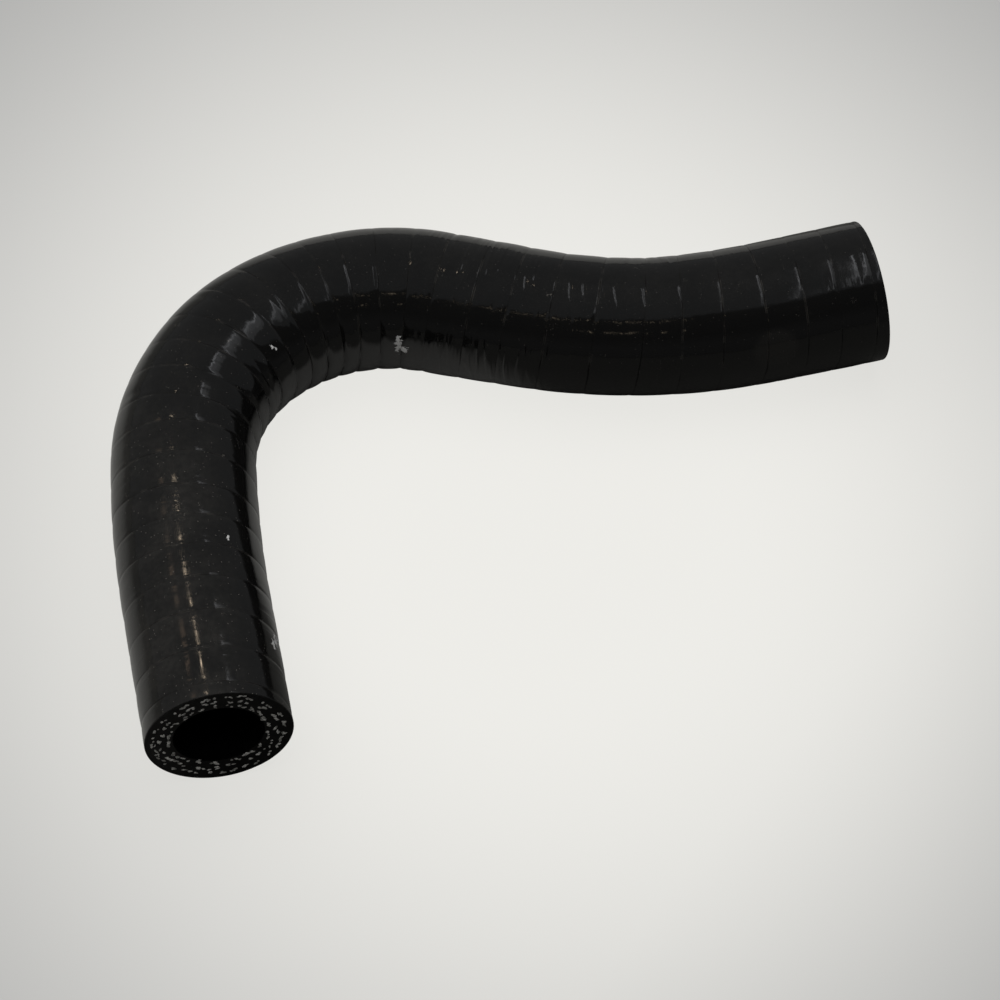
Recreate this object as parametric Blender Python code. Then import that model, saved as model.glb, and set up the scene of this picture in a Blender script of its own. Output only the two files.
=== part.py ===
"""Moulded coolant hose: a thick-walled rubber elbow that runs on into a long, shallow reverse bend.

The hose is one vulcanised piece, an inner tube, a yarn reinforcement and a cover bonded together, so it is
one closed solid: an outer wall, an open bore from end to end and two square-cut ends. Its middle line is
flat and follows a bend table of straights and arcs. The outside keeps the laps of the cloth tape that it
was cured in: a shallow groove that winds along the hose as a left-handed helix, with a slight crown between
its turns. The laps are crowded at the inside of a bend, where they bulge more, and drawn out at its outside.

Lengths are in metres and angles in degrees. The hose lies on z = 0 with its bends in one level plane. Its
near end opens towards -Y, its far end towards +X, and the origin is the middle of its footprint.
"""
import math

import bmesh
import bpy
import numpy as np
from mathutils import Vector

# Section
BORE_DIAMETER = 0.016
WALL_THICKNESS = 0.005
# how much slimmer the outside is at the middle of the reverse bend, and how far either way that reaches
SLIMMING = 0.0008
SLIMMING_REACH = 0.040

# Bend table, from the near end: the hose turns right through the lead-in and the elbow, then back left
NEAR_STRAIGHT = 0.02735
LEAD_IN_RADIUS = 0.240
LEAD_IN_ANGLE = 7.3
ELBOW_RADIUS = 0.0365
ELBOW_ANGLE = 105.0
MIDDLE_STRAIGHT = 0.018
REVERSE_RADIUS = 0.090
REVERSE_ANGLE = 27.0
FAR_STRAIGHT = 0.021

# Laps of the curing tape: their pitch along the middle line, closer round the elbow, and where they start
LAP_PITCH = 0.0072
ELBOW_LAP_PITCH = 0.0054
FIRST_LAP = 0.00425
LAP_GROOVE_WIDTH = 0.0013
# depths below the crown between two grooves: of the groove, and of the shoulders beside it
LAP_GROOVE_DEPTH = 0.00026
LAP_SHOULDER_DEPTH = 0.00011

# Fineness of the solid
OUTSIDE_SIDES = 28
BORE_SIDES = 24
BORE_STEP_ANGLE = 7.0
LAP_TABLE_STEP = 0.00025
# points this close to a cut's plane lie in it
FLAT_WITHIN = 0.000005


def bend_table():
    """Runs of the middle line by name, as (length, turn in radians); a turn to the left is positive."""
    def arc(radius, angle, side):
        turn = math.radians(angle)
        return radius * turn, side * turn

    return {
        "near straight": (NEAR_STRAIGHT, 0.0),
        "lead-in": arc(LEAD_IN_RADIUS, LEAD_IN_ANGLE, -1),
        "elbow": arc(ELBOW_RADIUS, ELBOW_ANGLE, -1),
        "middle straight": (MIDDLE_STRAIGHT, 0.0),
        "reverse bend": arc(REVERSE_RADIUS, REVERSE_ANGLE, 1),
        "far straight": (FAR_STRAIGHT, 0.0),
    }


RUNS = bend_table()
RUN_ENDS = np.concatenate([[0.0], np.cumsum([length for length, turn in RUNS.values()])])
HEADINGS = np.concatenate([[0.0], np.cumsum([turn for length, turn in RUNS.values()])])
LENGTH = RUN_ENDS[-1]


def middle_line(distance):
    """Points on the middle line and unit vectors along it, at distances from the near end.

    The heading h is counted from +Y to the left and grows evenly through an arc. In a straight the point
    moves along it; in an arc of turning rate k it moves by (cos h - cos h0, sin h - sin h0) / k. Past an
    end the hose would run on straight.
    """
    heading = np.interp(distance, RUN_ENDS, HEADINGS)
    point = np.zeros((len(distance), 3))
    x = y = 0.0
    for run, (length, turn) in enumerate(RUNS.values()):
        start, start_heading = RUN_ENDS[run], HEADINGS[run]
        here = distance >= start if run else np.full(len(distance), True)
        rate = turn / length
        if rate:
            point[here, 0] = x + (np.cos(heading[here]) - math.cos(start_heading)) / rate
            point[here, 1] = y + (np.sin(heading[here]) - math.sin(start_heading)) / rate
            x += (math.cos(start_heading + turn) - math.cos(start_heading)) / rate
            y += (math.sin(start_heading + turn) - math.sin(start_heading)) / rate
        else:
            point[here, 0] = x - (distance[here] - start) * math.sin(start_heading)
            point[here, 1] = y + (distance[here] - start) * math.cos(start_heading)
            x -= length * math.sin(start_heading)
            y += length * math.cos(start_heading)
    along_hose = np.stack([-np.sin(heading), np.cos(heading), np.zeros_like(heading)], axis=1)
    return point, along_hose


def hump(distance, centre, reach):
    """1 at the centre, easing to 0 at the reach on both sides, as half a cosine wave does."""
    share = np.clip((distance - centre) / reach, -1.0, 1.0)
    return 0.5 + 0.5 * np.cos(math.pi * share)


def run_centre(name):
    run = list(RUNS).index(name)
    return 0.5 * (RUN_ENDS[run] + RUN_ENDS[run + 1])


def outside_radius(distance):
    """Radius over the crowns of the laps: bore and wall, less the slimming at the reverse bend."""
    full = 0.5 * BORE_DIAMETER + WALL_THICKNESS
    return full - 0.5 * SLIMMING * hump(distance, run_centre("reverse bend"), SLIMMING_REACH)


def stretch(distance, angle):
    """How much longer the outside is than the middle line there, under 1 at the inside of a bend.

    It is 1 - k r sin(angle), with the turning rate k averaged over a lap to each side.
    """
    ahead = np.interp(distance + LAP_PITCH, RUN_ENDS, HEADINGS)
    behind = np.interp(distance - LAP_PITCH, RUN_ENDS, HEADINGS)
    rate = (ahead - behind) / (2.0 * LAP_PITCH)
    return 1.0 - rate * outside_radius(distance) * np.sin(angle)


def lap_table():
    """Distances along the hose and the laps counted up to each, running on past both ends."""
    margin = 4.0 * LAP_PITCH
    distance = np.arange(-margin, LENGTH + margin + LAP_TABLE_STEP, LAP_TABLE_STEP)
    elbow_length, elbow_turn = RUNS["elbow"]
    pitch = LAP_PITCH - (LAP_PITCH - ELBOW_LAP_PITCH) * hump(distance, run_centre("elbow"), elbow_length)
    laps = np.concatenate([[0.0], np.cumsum(LAP_TABLE_STEP / pitch[:-1])])
    return distance, laps - np.interp(FIRST_LAP, distance, laps)


LAP_DISTANCE, LAP_COUNT = lap_table()


def ring_point(point, along_hose, radius, angle):
    """Points at a radius round the middle line; angle 0 is up and grows to the left of travel."""
    up = np.array([0.0, 0.0, 1.0])
    left = np.cross(up, along_hose)
    return point + radius[:, None] * (np.cos(angle)[:, None] * up + np.sin(angle)[:, None] * left)


def lap_profile():
    """One lap across, as (share of the pitch, depth below the crown): groove, shoulder, crown, shoulder."""
    shoulder = 0.5 * LAP_GROOVE_WIDTH / LAP_PITCH
    return [
        (0.0, LAP_GROOVE_DEPTH),
        (shoulder, LAP_SHOULDER_DEPTH),
        (0.5, 0.0),
        (1.0 - shoulder, LAP_SHOULDER_DEPTH),
    ]


def add_outer_wall(bm):
    """The outer wall as one helical strip whose rows follow the groove, a little longer than the hose.

    Step j of a row stands at the angle 2 pi j / OUTSIDE_SIDES and j / OUTSIDE_SIDES laps further along than
    the row's start, so the last row of one turn meets the first row of the next. A depth grows as the
    stretch there falls, by its inverse square.
    """
    first = math.floor(np.interp(0.0, LAP_DISTANCE, LAP_COUNT)) - 2
    last = math.ceil(np.interp(LENGTH, LAP_DISTANCE, LAP_COUNT)) + 1
    step = np.arange((last - first) * OUTSIDE_SIDES + 1)
    angle = 2.0 * math.pi * step / OUTSIDE_SIDES
    rows = []
    for share, depth in lap_profile():
        distance = np.interp(first + step / OUTSIDE_SIDES + share, LAP_COUNT, LAP_DISTANCE)
        radius = outside_radius(distance) - depth / stretch(distance, angle) ** 2
        point, along_hose = middle_line(distance)
        rows.append([bm.verts.new(place) for place in ring_point(point, along_hose, radius, angle)])
    # the first row again, one turn on, closes the strip onto itself
    rows.append(rows[0][OUTSIDE_SIDES:])
    for near_row, far_row in zip(rows, rows[1:]):
        for j in range(len(far_row) - 1):
            bm.faces.new((near_row[j], far_row[j], far_row[j + 1], near_row[j + 1]))


def cut_square(bm, distance, outwards):
    """Cuts the wall off flat, square to the middle line, and drops what is beyond the cut."""
    point, along_hose = middle_line(np.array([distance]))
    bmesh.ops.bisect_plane(
        bm,
        geom=bm.verts[:] + bm.edges[:] + bm.faces[:],
        dist=FLAT_WITHIN,
        plane_co=Vector(point[0]),
        plane_no=outwards * Vector(along_hose[0]),
        clear_outer=True,
    )


def bore_stations():
    """Distances of the rings that carry the bore: both ends of each run, and equal steps in its arcs."""
    stations = [0.0]
    for start, (length, turn) in zip(RUN_ENDS, RUNS.values()):
        steps = max(1, math.ceil(abs(math.degrees(turn)) / BORE_STEP_ANGLE))
        stations += [start + length * (i + 1) / steps for i in range(steps)]
    return np.array(stations)


def add_bore(bm):
    """The bore as a round tube facing its own middle, exactly as long as the hose."""
    stations = bore_stations()
    point, along_hose = middle_line(stations)
    radius = np.full(len(stations), 0.5 * BORE_DIAMETER)
    columns = []
    for side in range(BORE_SIDES):
        angle = np.full(len(stations), 2.0 * math.pi * side / BORE_SIDES)
        columns.append([bm.verts.new(place) for place in ring_point(point, along_hose, radius, angle)])
    for side in range(BORE_SIDES):
        this, following = columns[side], columns[(side + 1) % BORE_SIDES]
        for i in range(len(stations) - 1):
            bm.faces.new((this[i], following[i], following[i + 1], this[i + 1]))


def close_end(bm, distance):
    """Fills the flat ring between the outer wall and the bore at one end."""
    point, along_hose = middle_line(np.array([distance]))
    centre, normal = Vector(point[0]), Vector(along_hose[0])
    rim = []
    for edge in bm.edges:
        if edge.is_boundary and all(abs((v.co - centre).dot(normal)) < 2 * FLAT_WITHIN for v in edge.verts):
            rim.append(edge)
    bmesh.ops.triangle_fill(bm, use_beauty=True, use_dissolve=False, edges=rim, normal=normal)


def rubber():
    material = bpy.data.materials.new("black_rubber")
    material.use_nodes = True
    shader = material.node_tree.nodes["Principled BSDF"]
    shader.inputs["Base Color"].default_value = (0.012, 0.012, 0.012, 1.0)
    shader.inputs["Roughness"].default_value = 0.35
    shader.inputs["Metallic"].default_value = 0.0
    return material


def hose():
    bm = bmesh.new()
    add_outer_wall(bm)
    cut_square(bm, 0.0, -1)
    cut_square(bm, LENGTH, 1)
    add_bore(bm)
    close_end(bm, 0.0)
    close_end(bm, LENGTH)
    bmesh.ops.triangulate(bm, faces=bm.faces[:])
    bmesh.ops.recalc_face_normals(bm, faces=bm.faces[:])

    # the hose rests on z = 0 with the middle of its footprint at the origin
    places = np.array([v.co for v in bm.verts])
    low, high = places.min(axis=0), places.max(axis=0)
    foot = Vector((0.5 * (low[0] + high[0]), 0.5 * (low[1] + high[1]), low[2]))
    bmesh.ops.translate(bm, verts=bm.verts[:], vec=-foot)

    mesh = bpy.data.meshes.new("hose")
    bm.to_mesh(mesh)
    bm.free()
    mesh.shade_smooth()
    mesh.set_sharp_from_angle(angle=math.radians(40.0))
    mesh.materials.append(rubber())
    piece = bpy.data.objects.new("hose", mesh)
    bpy.context.scene.collection.objects.link(piece)
    return piece


def main():
    for old in list(bpy.data.objects):
        bpy.data.objects.remove(old, do_unlink=True)
    hose()


main()
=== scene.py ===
"""The finished look of a moulded coolant hose: glossy black rubber with the laps of its curing tape, and two
cut ends that show three rings of reinforcing yarn.

Lengths are in metres and angles in radians, unless a name or a comment says otherwise. A place on the hose
is given by its distance along the middle line from the near end and by its angle round it: 0 is on top,
and it grows to the left of travel.
"""
import math

import bpy
import numpy as np
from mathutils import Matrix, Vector


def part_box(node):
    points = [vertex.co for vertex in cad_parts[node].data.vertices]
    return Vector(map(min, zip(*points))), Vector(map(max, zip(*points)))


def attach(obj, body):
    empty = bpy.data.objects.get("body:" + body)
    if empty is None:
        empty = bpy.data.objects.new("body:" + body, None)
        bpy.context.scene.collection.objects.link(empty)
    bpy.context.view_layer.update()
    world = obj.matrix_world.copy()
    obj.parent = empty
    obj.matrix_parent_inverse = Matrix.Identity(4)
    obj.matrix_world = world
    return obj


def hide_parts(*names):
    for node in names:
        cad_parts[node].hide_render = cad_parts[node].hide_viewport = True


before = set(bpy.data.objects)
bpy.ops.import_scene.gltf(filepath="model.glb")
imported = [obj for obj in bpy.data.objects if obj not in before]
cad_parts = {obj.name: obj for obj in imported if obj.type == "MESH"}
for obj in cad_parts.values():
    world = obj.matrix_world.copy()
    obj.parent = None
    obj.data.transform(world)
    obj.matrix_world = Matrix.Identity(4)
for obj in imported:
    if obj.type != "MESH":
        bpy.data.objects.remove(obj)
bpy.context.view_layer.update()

MM = 0.001

# Section of the hose, and how much slimmer its radius is at the middle of the reverse bend
BORE_RADIUS = 8.0 * MM
OUTSIDE_RADIUS = 13.0 * MM
SLIMMING = 0.4 * MM
SLIMMING_REACH = 40.0 * MM

# Bend table, as the part is built: each run's length along the middle line and its turn to the left
NEAR_STRAIGHT = 27.35 * MM
LEAD_IN_RADIUS, LEAD_IN_TURN = 240.0 * MM, math.radians(7.3)
ELBOW_RADIUS, ELBOW_TURN = 36.5 * MM, math.radians(105.0)
MIDDLE_STRAIGHT = 18.0 * MM
REVERSE_RADIUS, REVERSE_TURN = 90.0 * MM, math.radians(27.0)
FAR_STRAIGHT = 21.0 * MM
RUNS = {
    "near straight": (NEAR_STRAIGHT, 0.0),
    "lead-in": (LEAD_IN_RADIUS * LEAD_IN_TURN, -LEAD_IN_TURN),
    "elbow": (ELBOW_RADIUS * ELBOW_TURN, -ELBOW_TURN),
    "middle straight": (MIDDLE_STRAIGHT, 0.0),
    "reverse bend": (REVERSE_RADIUS * REVERSE_TURN, REVERSE_TURN),
    "far straight": (FAR_STRAIGHT, 0.0),
}
RUN_ENDS = np.concatenate([[0.0], np.cumsum([length for length, turn in RUNS.values()])])
HEADINGS = np.concatenate([[0.0], np.cumsum([turn for length, turn in RUNS.values()])])
LENGTH = RUN_ENDS[-1]

# Laps of the curing tape: where each turn's edge lies along the hose, in mm, seen on top. The first two
# lie before the near end, so the count starts at -2.
LAP_EDGES = [-12.0, -4.4, 2.8, 10.0, 17.8, 25.1, 32.0, 38.4, 45.1, 52.1, 58.9, 64.6, 70.7, 76.4, 82.0, 88.0,
             93.6, 99.0, 103.8, 108.7, 114.6, 120.8, 126.6, 133.9, 140.6, 147.9, 155.9, 163.9, 170.3, 177.2,
             184.4, 191.7, 198.1, 204.8, 212.0, 219.2]
FIRST_LAP_COUNT = -2.0
LAP_PITCH = 7.2 * MM
# how much a lap bulges between its edges: (distance along, depth at the edges), both in mm
LAP_CROWNS = [(0.0, 0.085), (100.0, 0.085), (130.0, 0.075), (160.0, 0.070), (175.0, 0.035), (206.0, 0.025)]
# the rounded step beside an edge, and how far a whole lap lies sunk at most
LAP_SHOULDER = 0.025 * MM
LAP_SHOULDER_WIDTH = 0.40 * MM
LAP_SUNK = 0.025 * MM
# soft unevenness all over, and the least depth anywhere
LUMPS = 0.015 * MM
LEAST_DEPTH = 0.004 * MM
# in laps: how far the tape's edge wanders, and leans over across the top on the straights and the elbow
LAP_WANDER = 0.03
LAP_LEAN = 0.07
ELBOW_LAP_LEAN = 0.42
ELBOW_LEAN_REACH = 45.0 * MM
# random values along the tape: turns that they cover, and how many of these lie before the count's zero
TAPE_TURNS = 64
TAPE_TURNS_BEFORE = 4.0

# Where the hose is a little fuller or slimmer to one side: (distance along and reach in mm, angle round in
# degrees, how much in mm)
SWELLS = [
    (30.0, 50.0, -85.0, 0.10),
    (45.0, 20.0, 80.0, 0.10),
    (87.0, 15.0, 65.0, 0.20),
    (108.0, 12.0, 65.0, -0.09),
    (177.0, 14.0, 65.0, 0.25),
]

# Creases that show past the elbow: (distance along in mm, angle round and reach in degrees, lean in mm per
# radian, depth in mm)
CREASES = [
    (124.0, -24.0, 10.0, 3.0, 0.06),
    (137.9, -27.0, 8.0, 2.0, 0.10),
    (142.7, -10.0, 12.0, -2.0, 0.17),
    (143.7, -10.0, 12.0, 2.0, 0.17),
    (147.6, -27.0, 8.0, 3.0, 0.12),
    (150.7, -11.0, 13.0, -1.5, 0.16),
    (153.1, -8.0, 10.0, -2.0, 0.14),
    (156.0, -18.0, 20.0, 3.0, 0.14),
    (158.9, -14.0, 15.0, -2.4, 0.15),
    (163.9, -15.0, 17.0, -2.0, 0.12),
    (164.9, -15.0, 16.0, -4.0, 0.12),
    (170.4, -14.0, 15.0, -3.0, 0.09),
    (179.5, -8.0, 9.0, -3.0, 0.035),
]
CREASE_WIDTH = 0.36 * MM
# how far along from its middle a crease is worked out
CREASE_SPAN = 6.0 * MM
# creases scattered all over, and by how much they are shallower outside a stretch of the hose
SCATTERED_CREASES = 170
CREASED_FROM, CREASED_TO = 60.0 * MM, 172.0 * MM
SHALLOWER = 0.3

# Fineness of the hose's mesh
AROUND = 90
OUTSIDE_ROWS = 960
BORE_ROWS = 60
CUT_ROWS = 12
RIM_ROUND = 0.15 * MM
RIM_ROUND_ROWS = 3

# Cut ends: how far the cut lies inside the hose's length beside its rim, the share of the wall that this
# takes, and how much more at the bore
CUT_RECESS = 0.06 * MM
CUT_RECESS_SHARE = 1.0 / 12.0
CUT_DISH = 0.26 * MM

# Yarn ends in a cut end: rings of (radius, sites in the ring)
YARN_RINGS = [(8.72 * MM, 26), (10.10 * MM, 28), (11.50 * MM, 32)]
# how far a site strays: round its ring as a share of the spacing, across the ring in mm, and in its lean
YARN_SITE_STRAY = (0.33, 0.22, 0.55)
# how far a tuft strays from its site: across the ring and round it in mm, and in its lean
YARN_TUFT_STRAY = (0.30, 0.75, 0.4)
# one tuft: its greatest half length and half width, how far it stands out of the cut at most and reaches
# into it, how ragged it is, and its corners round it and from its top to its outline
TUFT_HALF_LENGTH = 0.74 * MM
TUFT_HALF_WIDTH = 0.43 * MM
TUFT_PROUD = 0.05 * MM
TUFT_SUNK = 0.12 * MM
TUFT_RAGGED = 0.24
TUFT_SIDES = 12
TUFT_RINGS = 4

# Colours
RUBBER_BLACK = (0.0036, 0.0036, 0.0036, 1.0)
DUST_COLOUR = (0.30, 0.28, 0.25, 1.0)
SCUFF_COLOUR = (0.62, 0.62, 0.62, 1.0)
CUT_BLACK, CUT_GREY = (0.0035, 0.0035, 0.0033, 1.0), (0.0075, 0.0072, 0.007, 1.0)
# the bore's colours are darker than the cover's rubber: partly its own colour, partly painted shade inside
# the bore
BORE_BLACK, BORE_GREY = (0.0008, 0.0008, 0.0008, 1.0), (0.0016, 0.0016, 0.0015, 1.0)
YARN_GREY, YARN_PALE = (0.34, 0.34, 0.32, 1.0), (0.92, 0.91, 0.88, 1.0)
YARN_GAPS = (0.10, 0.10, 0.095, 1.0)
BLACK = (0.0, 0.0, 0.0, 1.0)

# Specks of dust, three sizes: (mm between them, share of the places that hold one, reach in mm)
SPECKS = [(0.70, 0.60, 0.13), (1.3, 0.40, 0.15), (4.5, 0.55, 0.18)]

# Pale scuffs on the cover: (distance along, angle round in degrees, reach along, reach round)
SCUFFS = [
    (119.6 * MM, -79.0, 0.9 * MM, 1.9 * MM),
    (121.2 * MM, -84.0, 1.3 * MM, 0.8 * MM),
    (119.3 * MM, -73.5, 0.35 * MM, 0.9 * MM),
    (85.7 * MM, -43.5, 0.42 * MM, 0.50 * MM),
    (86.3 * MM, -47.0, 0.30 * MM, 0.34 * MM),
    (33.5 * MM, -31.7, 0.50 * MM, 0.28 * MM),
    (13.2 * MM, -64.0, 0.9 * MM, 0.55 * MM),
    (14.8 * MM, -70.0, 1.2 * MM, 0.75 * MM),
    (16.0 * MM, -79.0, 0.6 * MM, 1.2 * MM),
]
# how much a noise tears their outline
SCUFF_TEAR = 4.0
# a faint round bloom on the far end, in the same terms
BLOTCH = (185.0 * MM, -70.0, 4.4 * MM, 4.6 * MM)

# Camera of the photograph's view
CAMERA_PLACE = (-91.96 * MM, -504.745 * MM, 706.45 * MM)
CAMERA_AIM = (-1.676 * MM, -1.36 * MM, 0.0)
CAMERA_LENS = 173.54
CAMERA_SENSOR = 36.0

# The floor: half its side, and how far it lies under the hose
FLOOR_HALF = 3.0
FLOOR_DROP = 0.02 * MM
# as the camera sees it: its tones under the hose and far from it, and the distances from a centre between
# which it goes from the one to the other, a painted pool of light that fades outwards. These count more in x
# than in y.
FLOOR_PALE = (0.853, 0.846, 0.812, 1.0)
FLOOR_FAR = (0.38, 0.38, 0.375, 1.0)
FLOOR_FADE = (0.035, 0.205)
FLOOR_CENTRE = (0.004, -0.005)
FLOOR_COUNTS = (1.12, 0.95)
# it is painted darker towards the front right, a painted fall-off of the light: what x - y is over the first
# adds to the distance by this share
FLOOR_CORNER_FROM = 0.10
FLOOR_CORNER_SHARE = 0.30
# share of that tone that glows for the camera, which keeps the shadow faint
FLOOR_GLOW = 0.92
# in the gloss: its tone behind the hose, the one before it and within the elbow, which is painted shade of
# the hose, and the one to the left, behind the elbow and far away
FLOOR_DIM = (0.33, 0.33, 0.32, 1.0)
FLOOR_DIMMER = (0.105, 0.105, 0.10, 1.0)
FLOOR_DIM_OUTER = (0.115, 0.115, 0.11, 1.0)
# where these meet: in x - y before the hose, in x to the left, in x and in y behind the elbow, and in the
# distance from the centre
MEET_BEFORE = (-0.022, -0.002)
MEET_LEFT = (-0.085, -0.17)
MEET_ELBOW_X = (-0.03, -0.09)
MEET_ELBOW_Y = (0.05, 0.12)
MEET_FAR = (0.30, 1.0)

# The room, as the gloss shows it: (degrees behind the zenith, radiance, how blue)
ROOM_TONES = [
    (-180.0, 0.07, 0.0),
    (-75.0, 0.07, 0.0),
    (-58.0, 0.036, 0.0),
    (-26.5, 0.034, 0.0),
    (-24.5, 0.150, 0.08),
    (36.0, 0.135, 0.04),
    (60.0, 0.115, 0.0),
    (90.0, 0.12, 0.0),
    (180.0, 0.12, 0.0),
]
# The soft lamp that gives the plain level: place, side, radiance, colour
KEY_PLACE = (-0.25, 0.25, 1.25)
KEY_SIDE = 1.6
KEY_RADIANCE = 2.6
KEY_COLOUR = (1.0, 0.985, 0.96)
# Small lamps at one height, which the gloss shows: name, place in x and y, size, radiance, colour
LAMP_HEIGHT = 0.60
COOL = (0.94, 0.96, 1.0)
BEIGE = (1.0, 0.82, 0.58)
SMALL_LAMPS = [
    ("warm_lamp", (-0.165, 0.345), (0.014, 0.040), 24.0, (1.0, 0.80, 0.58)),
    ("brown_lamp", (-0.410, 0.420), (0.090, 0.045), 1.1, (1.0, 0.70, 0.48)),
    ("cool_tube_far", (0.224, 0.200), (0.020, 0.290), 2.3, COOL),
    ("cool_tube_middle", (0.230, -0.010), (0.020, 0.130), 1.6, COOL),
    ("cool_tube_near", (0.224, -0.150), (0.020, 0.150), 0.9, COOL),
    ("cool_panel_far", (0.275, 0.190), (0.080, 0.270), 0.48, COOL),
    ("cool_panel_near", (0.280, -0.020), (0.080, 0.150), 0.35, COOL),
    ("cool_glow", (0.345, 0.080), (0.060, 0.450), 0.30, COOL),
    ("beige_lamp_1", (0.015, -0.325), (0.030, 0.013), 2.8, BEIGE),
    ("beige_lamp_2", (-0.030, -0.310), (0.016, 0.013), 2.8, BEIGE),
    ("beige_lamp_3", (-0.122, -0.300), (0.036, 0.013), 2.8, BEIGE),
    ("beige_lamp_4", (-0.196, -0.293), (0.012, 0.013), 2.8, BEIGE),
    ("beige_lamp_5", (-0.238, -0.288), (0.006, 0.013), 2.8, BEIGE),
    ("beige_lamp_6", (-0.065, -0.622), (0.036, 0.026), 2.4, BEIGE),
    ("beige_lamp_7", (-0.129, -0.611), (0.016, 0.026), 2.4, BEIGE),
]

low_corner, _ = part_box("hose")
NEAR_CENTRE = np.array([low_corner.x + OUTSIDE_RADIUS, low_corner.y, low_corner.z + OUTSIDE_RADIUS])
UP = np.array([0.0, 0.0, 1.0])


# The middle line

def middle_line(distance):
    """Points on the middle line and unit vectors along it.

    The heading h is counted from +Y to the left and grows evenly through an arc. In a straight the point
    moves along it; in an arc of turning rate k it moves by (cos h - cos h0, sin h - sin h0) / k.
    """
    heading = np.interp(distance, RUN_ENDS, HEADINGS)
    point = np.zeros((len(distance), 3))
    x = y = 0.0
    for (length, turn), start, h0 in zip(RUNS.values(), RUN_ENDS, HEADINGS):
        here = distance >= start
        along = distance[here] - start
        if turn:
            rate = turn / length
            point[here, 0] = x + (np.cos(heading[here]) - math.cos(h0)) / rate
            point[here, 1] = y + (np.sin(heading[here]) - math.sin(h0)) / rate
            x += (math.cos(h0 + turn) - math.cos(h0)) / rate
            y += (math.sin(h0 + turn) - math.sin(h0)) / rate
        else:
            point[here, 0] = x - along * math.sin(h0)
            point[here, 1] = y + along * math.cos(h0)
            x -= length * math.sin(h0)
            y += length * math.cos(h0)
    along_hose = np.stack([-np.sin(heading), np.cos(heading), np.zeros_like(heading)], axis=1)
    return point + NEAR_CENTRE, along_hose


def hose_place(distance, angle, radius):
    """Points of the grid distance x angle, at a radius round the middle line.

    A point is the middle line's point plus radius times (cos angle up + sin angle left).
    """
    point, along_hose = middle_line(distance)
    left = np.cross(UP, along_hose)
    side = np.cos(angle)[None, :, None] * UP + np.sin(angle)[None, :, None] * left[:, None, :]
    return point[:, None, :] + radius[..., None] * side


def hump(distance, centre, reach):
    """1 at the centre, easing to 0 at the reach on both sides, as half a cosine wave does."""
    share = np.clip((distance - centre) / reach, -1.0, 1.0)
    return 0.5 + 0.5 * np.cos(math.pi * share)


def run_centre(name):
    """Distance along to the middle of a run."""
    run = list(RUNS).index(name)
    return 0.5 * (RUN_ENDS[run] + RUN_ENDS[run + 1])


def crown_radius(distance):
    """Radius over the crowns of the laps, less the slimming at the reverse bend."""
    return OUTSIDE_RADIUS - SLIMMING * hump(distance, run_centre("reverse bend"), SLIMMING_REACH)


def stretch(distance, angle):
    """Length of the outside over that of the middle line.

    It is 1 - k r sin(angle), with the turning rate k averaged over two laps.
    """
    ahead = np.interp(distance + LAP_PITCH, RUN_ENDS, HEADINGS)
    behind = np.interp(distance - LAP_PITCH, RUN_ENDS, HEADINGS)
    rate = (ahead - behind) / (2.0 * LAP_PITCH)
    return 1.0 - (rate * crown_radius(distance))[:, None] * np.sin(angle)[None, :]


# The form of the outside

def waves(distance, angle, seed, count, longest, shortest, most_round):
    """A smooth field on the grid, about -1 to 1: a sum of sines of k distance + m angle + phase, m whole."""
    draw = np.random.default_rng(seed)
    field = np.zeros((len(distance), len(angle)))
    for _ in range(count):
        wave = 2.0 * math.pi / np.exp(draw.uniform(math.log(shortest), math.log(longest)))
        turns = draw.integers(-most_round, most_round + 1)
        phase = draw.uniform(0.0, 2.0 * math.pi)
        field += np.sin(wave * distance[:, None] + turns * angle[None, :] + phase)
    return field / math.sqrt(2.0 * count)


def along_tape(turn, seed, per_turn, low, high):
    """A value that changes smoothly along the tape: random knots, per_turn of them in each turn of it."""
    draw = np.random.default_rng(seed)
    knots = draw.uniform(low, high, TAPE_TURNS * per_turn)
    place = (turn + TAPE_TURNS_BEFORE) * per_turn
    index = np.clip(np.floor(place).astype(int), 0, len(knots) - 2)
    share = np.clip(place - index, 0.0, 1.0)
    share = share * share * (3.0 - 2.0 * share)
    return knots[index] * (1.0 - share) + knots[index + 1] * share


def lap_phase(distance, angle):
    """Laps counted to each grid point: whole numbers are the tape's edges.

    They are a left-handed helix that leans over by a share of the sine of the angle, most round the
    elbow, and wanders a little.
    """
    on_top = np.interp(distance, np.array(LAP_EDGES) * MM, np.arange(len(LAP_EDGES)) + FIRST_LAP_COUNT)
    wander = LAP_WANDER * waves(distance, angle, seed=3, count=10, longest=60 * MM, shortest=12 * MM,
                                most_round=2)
    lean = LAP_LEAN + (ELBOW_LAP_LEAN - LAP_LEAN) * hump(distance, run_centre("elbow"), ELBOW_LEAN_REACH)
    leaning = lean[:, None] * np.sin(angle)[None, :]
    return on_top[:, None] - angle[None, :] / (2.0 * math.pi) + leaning + wander


def add_crease(field, distance, angle, centre, side, reach, width, lean, depth):
    """Adds one crease to the field: a narrow bell across, a wide one round, leaning by lean per radian."""
    near = np.abs(distance - centre) < CREASE_SPAN
    round_it = np.angle(np.exp(1j * (angle - side)))[None, :]
    across = (distance[near][:, None] - centre - lean * round_it) / width
    field[near] += depth * np.exp(-across ** 2 - (round_it / reach) ** 2)


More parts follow.
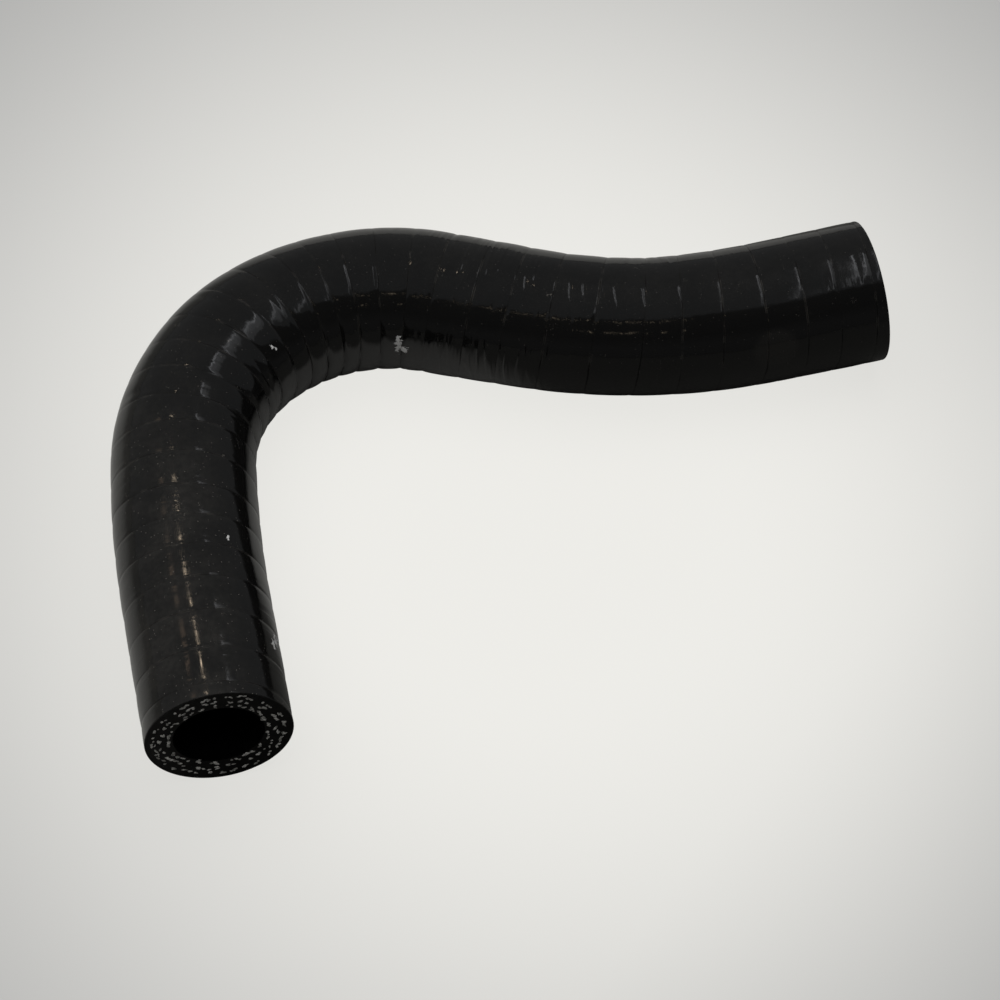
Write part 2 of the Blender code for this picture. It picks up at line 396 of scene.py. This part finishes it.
def creases(distance, angle):
    """Depth of the wrinkles that run round the hose, first the scattered ones and then the placed ones."""
    draw = np.random.default_rng(seed=11)
    field = np.zeros((len(distance), len(angle)))
    for _ in range(SCATTERED_CREASES):
        centre = draw.uniform(0.0, LENGTH)
        side = draw.uniform(-math.pi, math.pi)
        width = draw.uniform(0.40, 0.80) * MM
        reach = draw.uniform(0.25, 0.65)
        lean = draw.uniform(-1.2, 1.4) * MM
        depth = draw.uniform(-0.04, 0.085) * MM
        if centre < CREASED_FROM or centre > CREASED_TO:
            depth = SHALLOWER * depth
        add_crease(field, distance, angle, centre, side, reach, width, lean, depth)
    for centre, side, reach, lean, depth in CREASES:
        add_crease(field, distance, angle, centre * MM, math.radians(side), math.radians(reach),
                   CREASE_WIDTH, lean * MM, depth * MM)
    return field


def swell(distance, angle):
    """How much fuller the hose is than round: a sum of humps along it, each to one side."""
    field = np.zeros((len(distance), len(angle)))
    for centre, reach, side, amount in SWELLS:
        sideways = np.maximum(np.cos(angle - math.radians(side)), 0.0) ** 4
        field += amount * MM * hump(distance, centre * MM, reach * MM)[:, None] * sideways[None, :]
    return field


def outer_wall(distance, angle):
    """Radius of the outside: the crown radius with its swells, less the depth of all the finer forms.

    Across a lap the depth is a bow |2p - 1|^2.5 between its two edges, and a rounded shoulder, a bell of
    the distance to the nearer edge. Both change along the tape. The bow grows with the inverse cube of the
    stretch, so the laps bulge at the inside of the elbow. To that come how far the lap lies sunk, the lumps
    and the creases.
    """
    phase = lap_phase(distance, angle)
    band = np.floor(phase)
    share = phase - band
    turn = band + angle[None, :] / (2.0 * math.pi)
    squeeze = stretch(distance, angle)
    crowns = np.array(LAP_CROWNS) * MM
    crown = np.interp(distance, crowns[:, 0], crowns[:, 1])[:, None]
    crown = crown * along_tape(turn, seed=5, per_turn=3, low=0.6, high=1.4)
    bow = crown * np.abs(2.0 * share - 1.0) ** 2.5 / squeeze ** 3
    from_edge = np.minimum(share, 1.0 - share) * LAP_PITCH * squeeze
    shoulder = np.exp(-(from_edge / LAP_SHOULDER_WIDTH) ** 2)
    step = LAP_SHOULDER * along_tape(turn, seed=6, per_turn=4, low=0.1, high=1.9)
    shoulder = step * shoulder / squeeze
    sunk = along_tape(turn, seed=7, per_turn=2, low=0.0, high=LAP_SUNK)
    uneven = waves(distance, angle, seed=4, count=24, longest=40 * MM, shortest=7 * MM, most_round=4)
    lumps = LUMPS * (1.0 + 1.5 * uneven)
    depth = bow + shoulder + sunk + lumps + creases(distance, angle)
    return crown_radius(distance)[:, None] + swell(distance, angle) - np.maximum(depth, LEAST_DEPTH)


# The hose's mesh

def cut_depth(radius):
    """How far the cut lies inside the hose's length at a radius.

    There is a short slope beside the rim, and then the cut gets evenly deeper to the bore.
    """
    share = np.clip((OUTSIDE_RADIUS - radius) / (OUTSIDE_RADIUS - BORE_RADIUS), 0.0, 1.0)
    return CUT_RECESS * np.minimum(share / CUT_RECESS_SHARE, 1.0) + CUT_DISH * share


def cut_radii(outline, across):
    """Radii across a cut end, from the outside's outline less the rounded rim to the bore."""
    edge = outline - RIM_ROUND
    return edge[None, :] * (1.0 - across[:, None]) + BORE_RADIUS * across[:, None]


def hose_grid():
    """The whole hose as one closed grid: a profile in each direction round the middle line.

    The profile runs along the outside to the far end, across the cut end, back through the bore and
    across the near end, so both directions of the grid close on themselves. Returns the rows' distances,
    the angles, the radii and each row's material.
    """
    angle = -math.pi + 2.0 * math.pi * np.arange(AROUND) / AROUND
    outside = np.linspace(RIM_ROUND, LENGTH - RIM_ROUND, OUTSIDE_ROWS)
    wall = outer_wall(outside, angle)

    # the rounded rims: quarter circles that start in the outside and end in the cut
    quarter = (np.arange(RIM_ROUND_ROWS) + 1.0) / (RIM_ROUND_ROWS + 1.0) * 0.5 * math.pi
    rim_in = (RIM_ROUND * (1.0 - np.cos(quarter)))[:, None]
    rim_along = RIM_ROUND * np.sin(quarter)

    # the cut: from the rim to the bore
    across = np.linspace(0.0, 1.0, CUT_ROWS)
    depth = cut_depth(OUTSIDE_RADIUS - RIM_ROUND + across * (BORE_RADIUS - OUTSIDE_RADIUS + RIM_ROUND))
    bore = np.linspace(depth[-1], LENGTH - depth[-1], BORE_ROWS)[1:-1]

    # the materials, by their order in add_hose
    cover, cut, inner = 0, 1, 2
    strips = [
        (outside, wall, cover),
        (LENGTH - RIM_ROUND + rim_along, wall[-1] - rim_in, cover),
        (LENGTH - depth, cut_radii(wall[-1], across), cut),
        (bore[::-1], np.full((len(bore), AROUND), BORE_RADIUS), inner),
        (depth[::-1], cut_radii(wall[0], across)[::-1], cut),
        ((RIM_ROUND - rim_along)[::-1], (wall[0] - rim_in)[::-1], cover),
    ]
    distance = np.concatenate([rows for rows, radii, material in strips])
    radius = np.concatenate([radii for rows, radii, material in strips])
    material = np.concatenate([np.full(len(rows), material) for rows, radii, material in strips])
    return distance, angle, radius, material


def grid_to_mesh(name, places):
    """A closed grid of points as a mesh of quads, facing away from the grid's inside."""
    rows, columns = places.shape[:2]
    index = np.arange(rows * columns).reshape(rows, columns)
    quads = four_corners(index, np.roll(index, -1, axis=1))
    mesh = bpy.data.meshes.new(name)
    mesh.vertices.add(rows * columns)
    mesh.vertices.foreach_set("co", places.reshape(-1).astype(np.float32))
    mesh.loops.add(quads.size)
    mesh.loops.foreach_set("vertex_index", quads.reshape(-1))
    mesh.polygons.add(rows * columns)
    mesh.polygons.foreach_set("loop_start", np.arange(0, quads.size, 4))
    mesh.update(calc_edges=True)
    mesh.validate()
    return mesh


def four_corners(here, beside):
    """The four corners' values of each quad, as it is wound, from those at its angle and at the next one."""
    return np.stack([here, np.roll(here, -1, axis=0), np.roll(beside, -1, axis=0), beside], axis=-1)


def corner_map(mesh, name, u, v):
    """A map of two values for the corners of a grid's quads, each array rows x columns x 4."""
    layer = mesh.uv_layers.new(name=name)
    values = np.stack([u.reshape(-1), v.reshape(-1)], axis=1)
    layer.data.foreach_set("uv", values.reshape(-1).astype(np.float32))


def add_object(name, data):
    """An object of a mesh, a camera or a lamp, in the scene."""
    thing = bpy.data.objects.new(name, data)
    bpy.context.scene.collection.objects.link(thing)
    return thing


def add_hose():
    """The hose with two maps for its cover, which both run on past the grid's seam without a jump.

    The map "unrolled" holds the distance along and the angle, and "laps" the laps counted and the pitch of
    the laps in mm.
    """
    distance, angle, radius, material = hose_grid()
    mesh = grid_to_mesh("rubber_hose", hose_place(distance, angle, radius))

    along = np.repeat(distance[:, None], AROUND, axis=1)
    round_it = np.repeat(angle[None, :], len(distance), axis=0)
    round_beside = np.repeat(np.append(angle[1:], math.pi)[None, :], len(distance), axis=0)
    corner_map(mesh, "unrolled", four_corners(along, along), four_corners(round_it, round_beside))
    laps = lap_phase(distance, angle)
    laps_beside = np.concatenate([laps[:, 1:], laps[:, :1] - 1.0], axis=1)
    pitch = LAP_PITCH / MM * stretch(distance, angle)
    pitch_beside = np.roll(pitch, -1, axis=1)
    corner_map(mesh, "laps", four_corners(laps, laps_beside), four_corners(pitch, pitch_beside))

    mesh.shade_smooth()
    mesh.set_sharp_from_angle(angle=math.radians(35.0))
    mesh.materials.append(cover_rubber())
    mesh.materials.append(cut_rubber())
    mesh.materials.append(bore_rubber_and_shade())
    mesh.polygons.foreach_set("material_index", np.repeat(material, AROUND))
    mesh.update()
    return add_object("rubber_hose", mesh)


# Yarn ends

def strays(draw, most, count):
    """Random values between -most and most."""
    return draw.uniform(-most, most, count)


def yarn_spots(draw):
    """Radius, angle round and lean of each tuft: sites in rings, with two or three tufts at every site."""
    site_radius = np.concatenate([np.full(count, radius) for radius, count in YARN_RINGS])
    site_theta = np.concatenate([2.0 * math.pi * np.arange(count) / count for radius, count in YARN_RINGS])
    spacing = np.concatenate([np.full(count, 2.0 * math.pi / count) for radius, count in YARN_RINGS])
    sites = len(site_theta)
    round_share, across, leaning = YARN_SITE_STRAY
    site_theta = site_theta + spacing * strays(draw, round_share, sites)
    site_radius = site_radius + strays(draw, across, sites) * MM
    site_lean = strays(draw, leaning, sites)

    site = np.repeat(np.arange(sites), draw.integers(2, 3, sites, endpoint=True))
    tufts = len(site)
    across, round_it, leaning = YARN_TUFT_STRAY
    radius = site_radius[site] + strays(draw, across, tufts) * MM
    theta = site_theta[site] + strays(draw, round_it, tufts) * MM / site_radius[site]
    lean = site_lean[site] + strays(draw, leaning, tufts)
    return radius, theta, lean


def yarn_domes(draw, lean):
    """Corners of each tuft as sideways, outward and height: its top, its foot, then rings from the top.

    A dome's point is rho (a cos u, b sin u), turned by its lean, and height (1 - rho^2), for rho from 0 to
    1 and with a ragged outline. Its foot is sunk in the rubber.
    """
    tufts = len(lean)
    long = TUFT_HALF_LENGTH * draw.uniform(0.45, 1.0, tufts)
    wide = TUFT_HALF_WIDTH * draw.uniform(0.55, 1.0, tufts)
    u = 2.0 * math.pi * np.arange(TUFT_SIDES) / TUFT_SIDES
    rho = (np.arange(1, TUFT_RINGS + 1) / TUFT_RINGS)[None, :, None]
    ragged = np.clip(1.0 + TUFT_RAGGED * draw.standard_normal((tufts, TUFT_SIDES)), 0.55, 1.5)
    ragged = 1.0 + (ragged[:, None, :] - 1.0) * rho
    a = rho * ragged * long[:, None, None] * np.cos(u)
    b = rho * ragged * wide[:, None, None] * np.sin(u)
    turn_cos, turn_sin = np.cos(lean)[:, None, None], np.sin(lean)[:, None, None]
    sideways = a * turn_cos - b * turn_sin
    outward = a * turn_sin + b * turn_cos
    proud = TUFT_PROUD * draw.uniform(0.3, 1.0, tufts)
    height = proud[:, None, None] * (1.0 - rho ** 2) - TUFT_SUNK * rho ** 6
    height = np.broadcast_to(height, a.shape)

    top = np.stack([np.zeros(tufts), np.zeros(tufts), proud], axis=-1)[:, None]
    foot = np.stack([np.zeros(tufts), np.zeros(tufts), np.full(tufts, -TUFT_SUNK)], axis=-1)[:, None]
    rings = np.stack([sideways, outward, height], axis=-1).reshape(tufts, -1, 3)
    return np.concatenate([top, foot, rings], axis=1)


def dome_faces(flip):
    """Triangles of one closed dome, whose corners are its top, its foot, then the rings from the top."""
    here = np.arange(TUFT_SIDES)
    beside = (here + 1) % TUFT_SIDES
    last = 2 + (TUFT_RINGS - 1) * TUFT_SIDES
    ring = 2 + TUFT_SIDES * np.arange(TUFT_RINGS - 1)[:, None]
    a, b = ring + here, ring + beside
    faces = np.concatenate([
        np.stack([np.zeros(TUFT_SIDES, int), 2 + here, 2 + beside], axis=1),
        np.stack([np.ones(TUFT_SIDES, int), last + beside, last + here], axis=1),
        np.stack([a, a + TUFT_SIDES, b + TUFT_SIDES], axis=-1).reshape(-1, 3),
        np.stack([a, b + TUFT_SIDES, b], axis=-1).reshape(-1, 3),
    ])
    return faces[:, ::-1] if flip else faces


def add_yarn_ends(name, at, outwards, seed, material):
    """Cut yarn ends in one end of the hose: flat closed domes that stand a little proud of the cut."""
    draw = np.random.default_rng(seed)
    radius, theta, lean = yarn_spots(draw)
    local = yarn_domes(draw, lean)
    point, along_hose = middle_line(np.array([at]))
    left = np.cross(UP, along_hose[0])
    out_unit = np.cos(theta)[:, None] * UP + np.sin(theta)[:, None] * left
    side_unit = -np.sin(theta)[:, None] * UP + np.cos(theta)[:, None] * left
    level = cut_depth(radius[:, None] + local[:, :, 1])
    places = point[0] + (radius[:, None, None] + local[:, :, 1:2]) * out_unit[:, None]
    places = places + local[:, :, 0:1] * side_unit[:, None]
    places = places + outwards * (local[:, :, 2] - level)[:, :, None] * along_hose[0]

    tufts, corners = local.shape[:2]
    faces = dome_faces(flip=outwards > 0)
    faces = (faces[None] + corners * np.arange(tufts)[:, None, None]).reshape(-1, 3)
    mesh = bpy.data.meshes.new(name)
    mesh.from_pydata(places.reshape(-1, 3).tolist(), [], faces.tolist())
    mesh.shade_smooth()
    mesh.materials.append(material)
    piece = add_object(name, mesh)
    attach(piece, "root")


# Materials. In the hose's shaders places, widths and depths are in mm, and a noise's scale is per mm. Only
# the distance along is in metres, as the map gives it.

class Nodes:
    """Short ways to add and join shader nodes in one material or world."""

    def __init__(self, tree):
        self.tree = tree

    def add(self, kind, inputs=None, **settings):
        node = self.tree.nodes.new(kind)
        for name, value in settings.items():
            setattr(node, name, value)
        for name, value in (inputs or {}).items():
            self.put(value, node.inputs[name])
        return node

    def put(self, value, socket):
        """Links a socket's output or sets a constant."""
        if isinstance(value, bpy.types.NodeSocket):
            self.tree.links.new(value, socket)
        else:
            socket.default_value = value

    def maths(self, operation, *values):
        node = self.tree.nodes.new("ShaderNodeMath")
        node.operation = operation
        for value, socket in zip(values, node.inputs):
            self.put(value, socket)
        return node.outputs[0]

    def joined(self, operation, first, others):
        for other in others:
            first = self.maths(operation, first, other)
        return first

    def plus(self, first, *others):
        return self.joined("ADD", first, others)

    def times(self, first, *others):
        return self.joined("MULTIPLY", first, others)

    def minus(self, first, second):
        return self.maths("SUBTRACT", first, second)

    def distance(self, x, y):
        return self.maths("SQRT", self.plus(self.times(x, x), self.times(y, y)))

    def ramp(self, value, low, high, to_low=0.0, to_high=1.0):
        """Goes smoothly from to_low to to_high as the value goes from low to high, and stays within them."""
        node = self.add("ShaderNodeMapRange", interpolation_type="SMOOTHSTEP")
        for number, given in enumerate((value, low, high, to_low, to_high)):
            self.put(given, node.inputs[number])
        return node.outputs[0]

    def noise(self, vector, scale, detail=2.0, distortion=0.0):
        node = self.add("ShaderNodeTexNoise", {"Vector": vector, "Scale": scale, "Detail": detail,
                                               "Distortion": distortion})
        return node.outputs[0]

    def off_middle(self, noise):
        """How far a noise is from its middle value, which it has along thin wandering lines."""
        return self.maths("ABSOLUTE", self.minus(noise, 0.5))

    def cells(self, vector, scale):
        """Distance to the nearest of a scatter of points, in cells, and a random number of that point."""
        node = self.add("ShaderNodeTexVoronoi", {"Vector": vector, "Scale": scale})
        parts = self.add("ShaderNodeSeparateColor", {"Color": node.outputs["Color"]})
        return node.outputs["Distance"], parts.outputs[0]

    def blend(self, factor, first, second):
        node = self.add("ShaderNodeMix", data_type="RGBA")
        for number, given in ((0, factor), (6, first), (7, second)):
            self.put(given, node.inputs[number])
        return node.outputs[2]

    def millimetres(self):
        """The place on the object, in mm."""
        node = self.add("ShaderNodeVectorMath", operation="MULTIPLY")
        self.put(self.add("ShaderNodeTexCoord").outputs["Object"], node.inputs[0])
        self.put((1000.0, 1000.0, 1000.0), node.inputs[1])
        return node.outputs[0]

    def vector(self, x, y, z):
        return self.add("ShaderNodeCombineXYZ", {"X": x, "Y": y, "Z": z}).outputs[0]

    def parts(self, vector):
        return self.add("ShaderNodeSeparateXYZ", {0: vector}).outputs

    def map_values(self, name):
        parts = self.parts(self.add("ShaderNodeUVMap", uv_map=name).outputs[0])
        return parts[0], parts[1]

    def surface(self, shader, colour, roughness, specular, relief=None):
        """Sets a main shader. The relief, if there is any, is in mm."""
        self.put(colour, shader.inputs["Base Color"])
        self.put(roughness, shader.inputs["Roughness"])
        self.put(specular, shader.inputs["Specular IOR Level"])
        if relief is not None:
            bump = self.add("ShaderNodeBump", {"Strength": 1.0, "Distance": MM, "Height": relief})
            self.put(bump.outputs[0], shader.inputs["Normal"])


def main_material(name):
    """A new material, its nodes and its main shader."""
    material = bpy.data.materials.new(name)
    material.use_nodes = True
    shader = material.node_tree.nodes["Principled BSDF"]
    return material, Nodes(material.node_tree), shader


def edge_line(nodes, place, from_edge):
    """The edge of the tape: a fine line whose strength comes and goes along it."""
    strength = nodes.ramp(nodes.noise(place, 0.20, 3.0), 0.36, 0.62, 0.15, 1.0)
    return nodes.times(nodes.ramp(from_edge, 0.20, 0.03), strength)


def folds(nodes, place, along, arc, phase):
    """Thin folds that run round the hose, most from the elbow's far part on.

    They are the level lines of a noise that is drawn out that way.
    """
    stretched = nodes.vector(nodes.times(along, 0.30 / MM), nodes.times(arc, 0.045), phase)
    line = nodes.off_middle(nodes.noise(stretched, 1.0, 2.0))
    folded = nodes.ramp(nodes.noise(place, 0.07, 1.0), 0.47, 0.60, 0.0, 1.0)
    from_elbow = nodes.ramp(along, 85.0 * MM, 105.0 * MM)
    folded = nodes.times(folded, nodes.plus(nodes.times(from_elbow, 0.85), 0.15))
    folded = nodes.times(folded, nodes.ramp(along, 168.0 * MM, 180.0 * MM, 1.0, 0.25))
    return nodes.times(nodes.ramp(line, 0.09, 0.0), folded)


def wrinkles(nodes, place, along, arc, phase, from_edge):
    """Wrinkles beside the laps: fine along the hose and long round it, and few at the far end."""
    stretched = nodes.vector(nodes.times(along, 1.1 / MM), nodes.times(arc, 0.17), phase)
    beside = nodes.ramp(from_edge, 1.7, 0.3)
    somewhere = nodes.ramp(nodes.noise(place, 0.11, 2.0), 0.42, 0.62)
    somewhere = nodes.times(somewhere, nodes.ramp(along, 162.0 * MM, 180.0 * MM, 1.0, 0.2))
    return nodes.times(nodes.noise(stretched, 1.0, 2.0), beside, somewhere)


def dust_film(nodes, place, along, round_it):
    """A thin film of dust, patchy, heavier on top and towards the near end, with a soft grain."""
    patchy = nodes.ramp(nodes.noise(place, 0.12, 4.0, 0.4), 0.30, 0.72, 0.35, 1.0)
    grain = nodes.ramp(nodes.noise(place, 1.1, 2.0), 0.25, 0.75, 0.50, 1.0)
    on_top = nodes.ramp(nodes.maths("COSINE", nodes.minus(round_it, 0.45)), 0.35, 0.95, 0.15, 1.0)
    near = nodes.ramp(along, 72.0 * MM, 48.0 * MM, 0.30, 1.0)
    return nodes.times(patchy, near, on_top, grain)


def lint(nodes, place):
    """Short curled fibres, each a piece of a level line of a noise, within a few small rounds."""
    level = nodes.off_middle(nodes.noise(place, 0.85, 1.0))
    away, pick = nodes.cells(place, 1.0 / 4.2)
    fibres = nodes.times(nodes.ramp(level, 0.014, 0.004), nodes.ramp(away, 0.17, 0.11))
    return nodes.times(fibres, nodes.ramp(pick, 0.60, 0.9))


def dust_specks(nodes, place, along):
    """Specks of dust of three sizes, fewer away from the near end. Larger ones are paler."""
    dots = []
    for cell, share, size in SPECKS:
        away, pick = nodes.cells(place, 1.0 / cell)
        dot = nodes.ramp(nodes.times(away, cell), size, size * 0.35)
        dots.append(nodes.times(dot, nodes.ramp(pick, 1.0 - share, 1.0, 0.0, 0.45 + 0.12 * cell)))
    return nodes.times(nodes.plus(*dots), nodes.ramp(along, 90.0 * MM, 30.0 * MM, 0.30, 1.0))


def edge_dust(nodes, place, from_edge):
    """Dust that lies in stretches beside the edge of the tape."""
    beside = nodes.ramp(nodes.maths("ABSOLUTE", nodes.minus(from_edge, 0.13)), 0.13, 0.02)
    return nodes.times(beside, nodes.ramp(nodes.noise(place, 0.30, 3.0), 0.48, 0.70, 0.06, 1.0))


def spot(nodes, along, round_it, where, torn=0.5):
    """1 within a spot that is given in SCUFFS' terms. A noise about 0.5 tears its outline."""
    at, side, reach_along, reach_round = where
    across = nodes.maths("DIVIDE", nodes.minus(along, at), reach_along)
    arc = nodes.times(nodes.minus(round_it, math.radians(side)), OUTSIDE_RADIUS / reach_round)
    away = nodes.distance(across, arc)
    return nodes.ramp(nodes.minus(away, nodes.times(nodes.minus(torn, 0.5), SCUFF_TEAR)), 1.05, 0.65)


def scuffing(nodes, place, along, round_it):
    """The pale scuffs, all in one."""
    torn = nodes.noise(place, 1.6, 5.0)
    spots = [spot(nodes, along, round_it, where, torn) for where in SCUFFS]
    return nodes.joined("MAXIMUM", spots[0], spots[1:])


def cover_rubber():
    """Glossy black cover: fine tape laps, folds, a thin film of dust, lint, specks and a few pale scuffs."""
    material, nodes, shader = main_material("cover_rubber")
    place = nodes.millimetres()
    along, round_it = nodes.map_values("unrolled")
    phase, pitch = nodes.map_values("laps")
    arc = nodes.times(round_it, OUTSIDE_RADIUS / MM)
    # how far the nearest edge of the tape is, with the edge wavering a little
    waver = nodes.times(nodes.minus(nodes.noise(place, 0.45, 2.0), 0.5), 0.03)
    from_edge = nodes.times(nodes.maths("PINGPONG", nodes.plus(phase, waver), 0.5), pitch)

    line = edge_line(nodes, place, from_edge)
    film = dust_film(nodes, place, along, round_it)
    specks = dust_specks(nodes, place, along)
    scuffs = scuffing(nodes, place, along, round_it)

    # how much of the rubber each layer of dust covers, from the lowest up
    colour = RUBBER_BLACK
    for layer in (nodes.times(film, 0.050),
                  nodes.times(spot(nodes, along, round_it, BLOTCH), 0.018),
                  nodes.times(lint(nodes, place), 0.22),
                  nodes.times(edge_dust(nodes, place, from_edge), 0.060),
                  nodes.maths("MINIMUM", nodes.times(specks, 0.6), 0.8)):
        colour = nodes.blend(layer, colour, DUST_COLOUR)
    colour = nodes.blend(nodes.times(scuffs, 0.85), colour, SCUFF_COLOUR)

    roughness = nodes.ramp(nodes.noise(place, 0.30, 4.0), 0.3, 0.7, 0.06, 0.12)
    roughness = nodes.plus(roughness, nodes.times(film, 0.08), nodes.times(scuffs, 0.5))
    # little light comes back out of the edge's groove
    specular = nodes.maths("MULTIPLY_ADD", line, -0.38, 0.5)
    relief = nodes.plus(nodes.times(line, -0.018),
                        nodes.times(folds(nodes, place, along, arc, phase), 0.065),
                        nodes.times(wrinkles(nodes, place, along, arc, phase, from_edge), 0.055),
                        nodes.times(nodes.noise(place, 0.9, 2.0), 0.010),
                        nodes.times(nodes.noise(place, 3.0, 1.0), 0.0020),
                        nodes.times(specks, 0.006),
                        nodes.times(scuffs, 0.03))
    nodes.surface(shader, colour, roughness, specular, relief)
    return material


def cut_rubber():
    """The knife-cut rubber of an end: matt, dark, uneven, with a few pale crumbs."""
    material, nodes, shader = main_material("cut_rubber")
    place = nodes.millimetres()
    cloud = nodes.ramp(nodes.noise(place, 0.8, 4.0), 0.35, 0.7)
    away, pick = nodes.cells(place, 1.0 / 0.8)
    crumb = nodes.times(nodes.ramp(away, 0.13, 0.05), nodes.ramp(pick, 0.75, 1.0))
    colour = nodes.blend(nodes.times(crumb, 0.25), nodes.blend(cloud, CUT_BLACK, CUT_GREY), DUST_COLOUR)
    nodes.surface(shader, colour, 0.62, 0.18, nodes.times(nodes.noise(place, 2.2, 4.0), 0.05))
    return material


def bore_rubber_and_shade():
    """The wall of the bore: smooth, almost black, partly its own dark rubber and partly painted shade inside
    the bore.
    """
    material, nodes, shader = main_material("bore_rubber_and_shade")
    cloud = nodes.noise(nodes.millimetres(), 0.25, 3.0)
    colour = nodes.blend(nodes.ramp(cloud, 0.4, 0.7), BORE_BLACK, BORE_GREY)
    nodes.surface(shader, colour, nodes.ramp(cloud, 0.3, 0.7, 0.42, 0.55), 0.15)
    return material


def yarn_material():
    """Pale yarn, cut across, so every tuft is a bundle of fine ends with dark gaps."""
    material, nodes, shader = main_material("pale_yarn")
    place = nodes.millimetres()
    cloud = nodes.ramp(nodes.noise(place, 1.1, 2.0), 0.35, 0.65)
    away, pick = nodes.cells(place, 1.0 / 0.13)
    gaps = nodes.ramp(away, 0.40, 0.80, 0.0, 0.5)
    colour = nodes.blend(gaps, nodes.blend(cloud, YARN_GREY, YARN_PALE), YARN_GAPS)
    nodes.surface(shader, colour, 0.8, 0.5, nodes.times(away, -0.03))
    return material


def floor_material():
    """Pale to the camera, with a painted pool of light that darkens far from the middle. To all other
    rays it is dim, with painted shade before the hose and within its elbow.
    """
    material, nodes, shader = main_material("pale_floor")
    across, back = nodes.parts(nodes.add("ShaderNodeTexCoord").outputs["Object"])[:2]
    x = nodes.times(nodes.minus(across, FLOOR_CENTRE[0]), FLOOR_COUNTS[0])
    y = nodes.times(nodes.minus(back, FLOOR_CENTRE[1]), FLOOR_COUNTS[1])
    away = nodes.distance(x, y)
    towards_front = nodes.minus(across, back)
    corner = nodes.maths("MAXIMUM", nodes.minus(towards_front, FLOOR_CORNER_FROM), 0.0)
    dimmed = nodes.maths("MULTIPLY_ADD", corner, FLOOR_CORNER_SHARE, away)
    # painted pool of light: pale under the hose, fading to the far tone and darker to the front right
    tone = nodes.blend(nodes.ramp(dimmed, *FLOOR_FADE), FLOOR_PALE, FLOOR_FAR)

    # before the hose and within its elbow the gloss finds painted shade of the hose, darker than behind it
    dim = nodes.blend(nodes.ramp(towards_front, *MEET_BEFORE), FLOOR_DIM, FLOOR_DIMMER)
    to_the_left = nodes.ramp(across, *MEET_LEFT)
    behind_elbow = nodes.times(nodes.ramp(across, *MEET_ELBOW_X), nodes.ramp(back, *MEET_ELBOW_Y))
    far_away = nodes.ramp(away, *MEET_FAR)
    for share in (to_the_left, behind_elbow, far_away):
        dim = nodes.blend(share, dim, FLOOR_DIM_OUTER)

    ray = nodes.add("ShaderNodeLightPath").outputs["Is Camera Ray"]
    lit = nodes.blend(FLOOR_GLOW, tone, BLACK)
    nodes.surface(shader, nodes.blend(ray, dim, lit), 0.9, 0.1)
    nodes.put(tone, shader.inputs["Emission Color"])
    nodes.put(nodes.times(ray, FLOOR_GLOW), shader.inputs["Emission Strength"])
    return material


# Camera, floor, room and lamps

def aim(thing, place, towards):
    """Puts a camera or a lamp at a place, facing another."""
    thing.location = place
    thing.rotation_euler = (Vector(towards) - Vector(place)).to_track_quat("-Z", "Y").to_euler()


def add_camera():
    camera = bpy.data.cameras.new("camera")
    camera.lens = CAMERA_LENS
    camera.sensor_width = CAMERA_SENSOR
    camera.clip_start = 0.01
    camera.clip_end = 20.0
    view = add_object("camera", camera)
    aim(view, CAMERA_PLACE, CAMERA_AIM)
    bpy.context.scene.camera = view


def add_lamp(name, place, towards, size, radiance, colour, glossy=True):
    """A rectangular lamp of an even radiance, at a place and facing another."""
    light = bpy.data.lights.new(name, "AREA")
    light.shape = "RECTANGLE"
    light.size, light.size_y = size
    light.energy = radiance * math.pi * size[0] * size[1]
    light.color = colour
    lamp = add_object(name, light)
    aim(lamp, place, towards)
    lamp.visible_glossy = glossy


def add_lamps():
    add_lamp("soft_key", KEY_PLACE, (0.0, 0.0, 0.0), (KEY_SIDE, KEY_SIDE), KEY_RADIANCE, KEY_COLOUR,
             glossy=False)
    for name, (x, y), size, radiance, colour in SMALL_LAMPS:
        add_lamp(name, (x, y, LAMP_HEIGHT), (x, y, 0.0), size, radiance, colour)


def add_floor():
    """A wide flat floor, just under the hose."""
    mesh = bpy.data.meshes.new("floor")
    near, far = -FLOOR_HALF, FLOOR_HALF
    mesh.from_pydata([(near, near, 0.0), (far, near, 0.0), (far, far, 0.0), (near, far, 0.0)], [],
                     [(0, 1, 2, 3)])
    mesh.materials.append(floor_material())
    floor = add_object("floor", mesh)
    floor.location.z = -FLOOR_DROP


def add_room():
    """A dim room, toned by the tilt behind the zenith: a pale ceiling that ends sharply on the camera's
    side, a dark band next to it, and grey walls."""
    world = bpy.data.worlds.new("room")
    world.use_nodes = True
    nodes = Nodes(world.node_tree)
    background = world.node_tree.nodes["Background"]
    direction = nodes.parts(nodes.add("ShaderNodeTexCoord").outputs["Generated"])
    tilt = nodes.maths("ARCTAN2", direction[1], direction[2])
    share = nodes.plus(nodes.maths("DIVIDE", tilt, 2.0 * math.pi), 0.5)
    ramp = nodes.add("ShaderNodeValToRGB", {"Fac": share})
    stops = ramp.color_ramp.elements
    while len(stops) > 1:
        stops.remove(stops[-1])
    for number, (degrees, level, blue) in enumerate(ROOM_TONES):
        stop = stops[0] if number == 0 else stops.new(0.5)
        stop.position = 0.5 + degrees / 360.0
        stop.color = (level, level * (1.0 + 0.5 * blue), level * (1.0 + blue), 1.0)
    nodes.put(ramp.outputs[0], background.inputs["Color"])
    background.inputs["Strength"].default_value = 1.0
    bpy.context.scene.world = world


hose = add_hose()
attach(hose, "root")
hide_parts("hose")
yarn = yarn_material()
add_yarn_ends("yarn_ends_near", 0.0, -1.0, 21, yarn)
add_yarn_ends("yarn_ends_far", LENGTH, 1.0, 22, yarn)
add_camera()
add_floor()
add_room()
add_lamps()
bpy.context.scene.view_settings.view_transform = "Standard"
